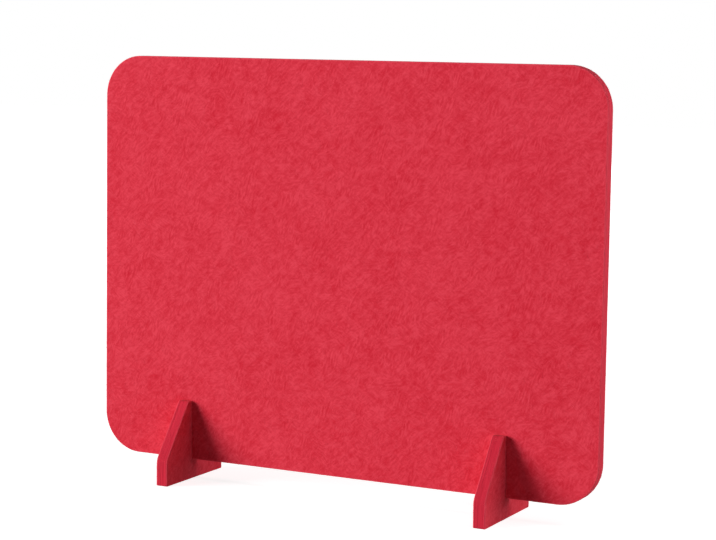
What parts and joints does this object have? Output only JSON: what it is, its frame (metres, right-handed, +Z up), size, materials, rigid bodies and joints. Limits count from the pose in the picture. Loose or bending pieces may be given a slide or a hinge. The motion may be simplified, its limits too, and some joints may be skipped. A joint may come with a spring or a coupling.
{
  "type": "acoustic divider screen",
  "caption": "Small free-standing desk divider of sound-absorbing felt board: a rounded panel held upright by slotted cross feet.",
  "frame": {"origin": "on the table top, midway between the feet and in the middle plane of the panel", "axes": "+X along the panel to the right, seen from the front; +Y through the panel, from front to back; +Z up"},
  "size_m": [0.4, 0.078, 0.315],
  "materials": {
    "panel_felt": "needle-punched compressed polyester felt board, matte, with fine fibre mottling and knife-cut edges",
    "foot_felt": "the same felt board as the panel, matte, with the cut edge showing at the toes and slopes"
  },
  "bodies": {
    "foot_left": {"foot_left": "foot_felt"},
    "panel": {"panel": "panel_felt"},
    "foot_right": {"foot_right": "foot_felt"}
  },
  "joints": [
    {"name": "panel_lift", "type": "slide", "parent": "foot_left", "child": "panel", "axis": [0, 0, 1], "range_m": [0, 0.05]},
    {"name": "right_foot_release", "type": "slide", "parent": "panel", "child": "foot_right", "axis": [0, 0, -1], "range_m": [0, 0.05]}
  ],
  "couplings": [
    {"joint": "right_foot_release", "follows": "panel_lift", "ratio": 1}
  ]
}
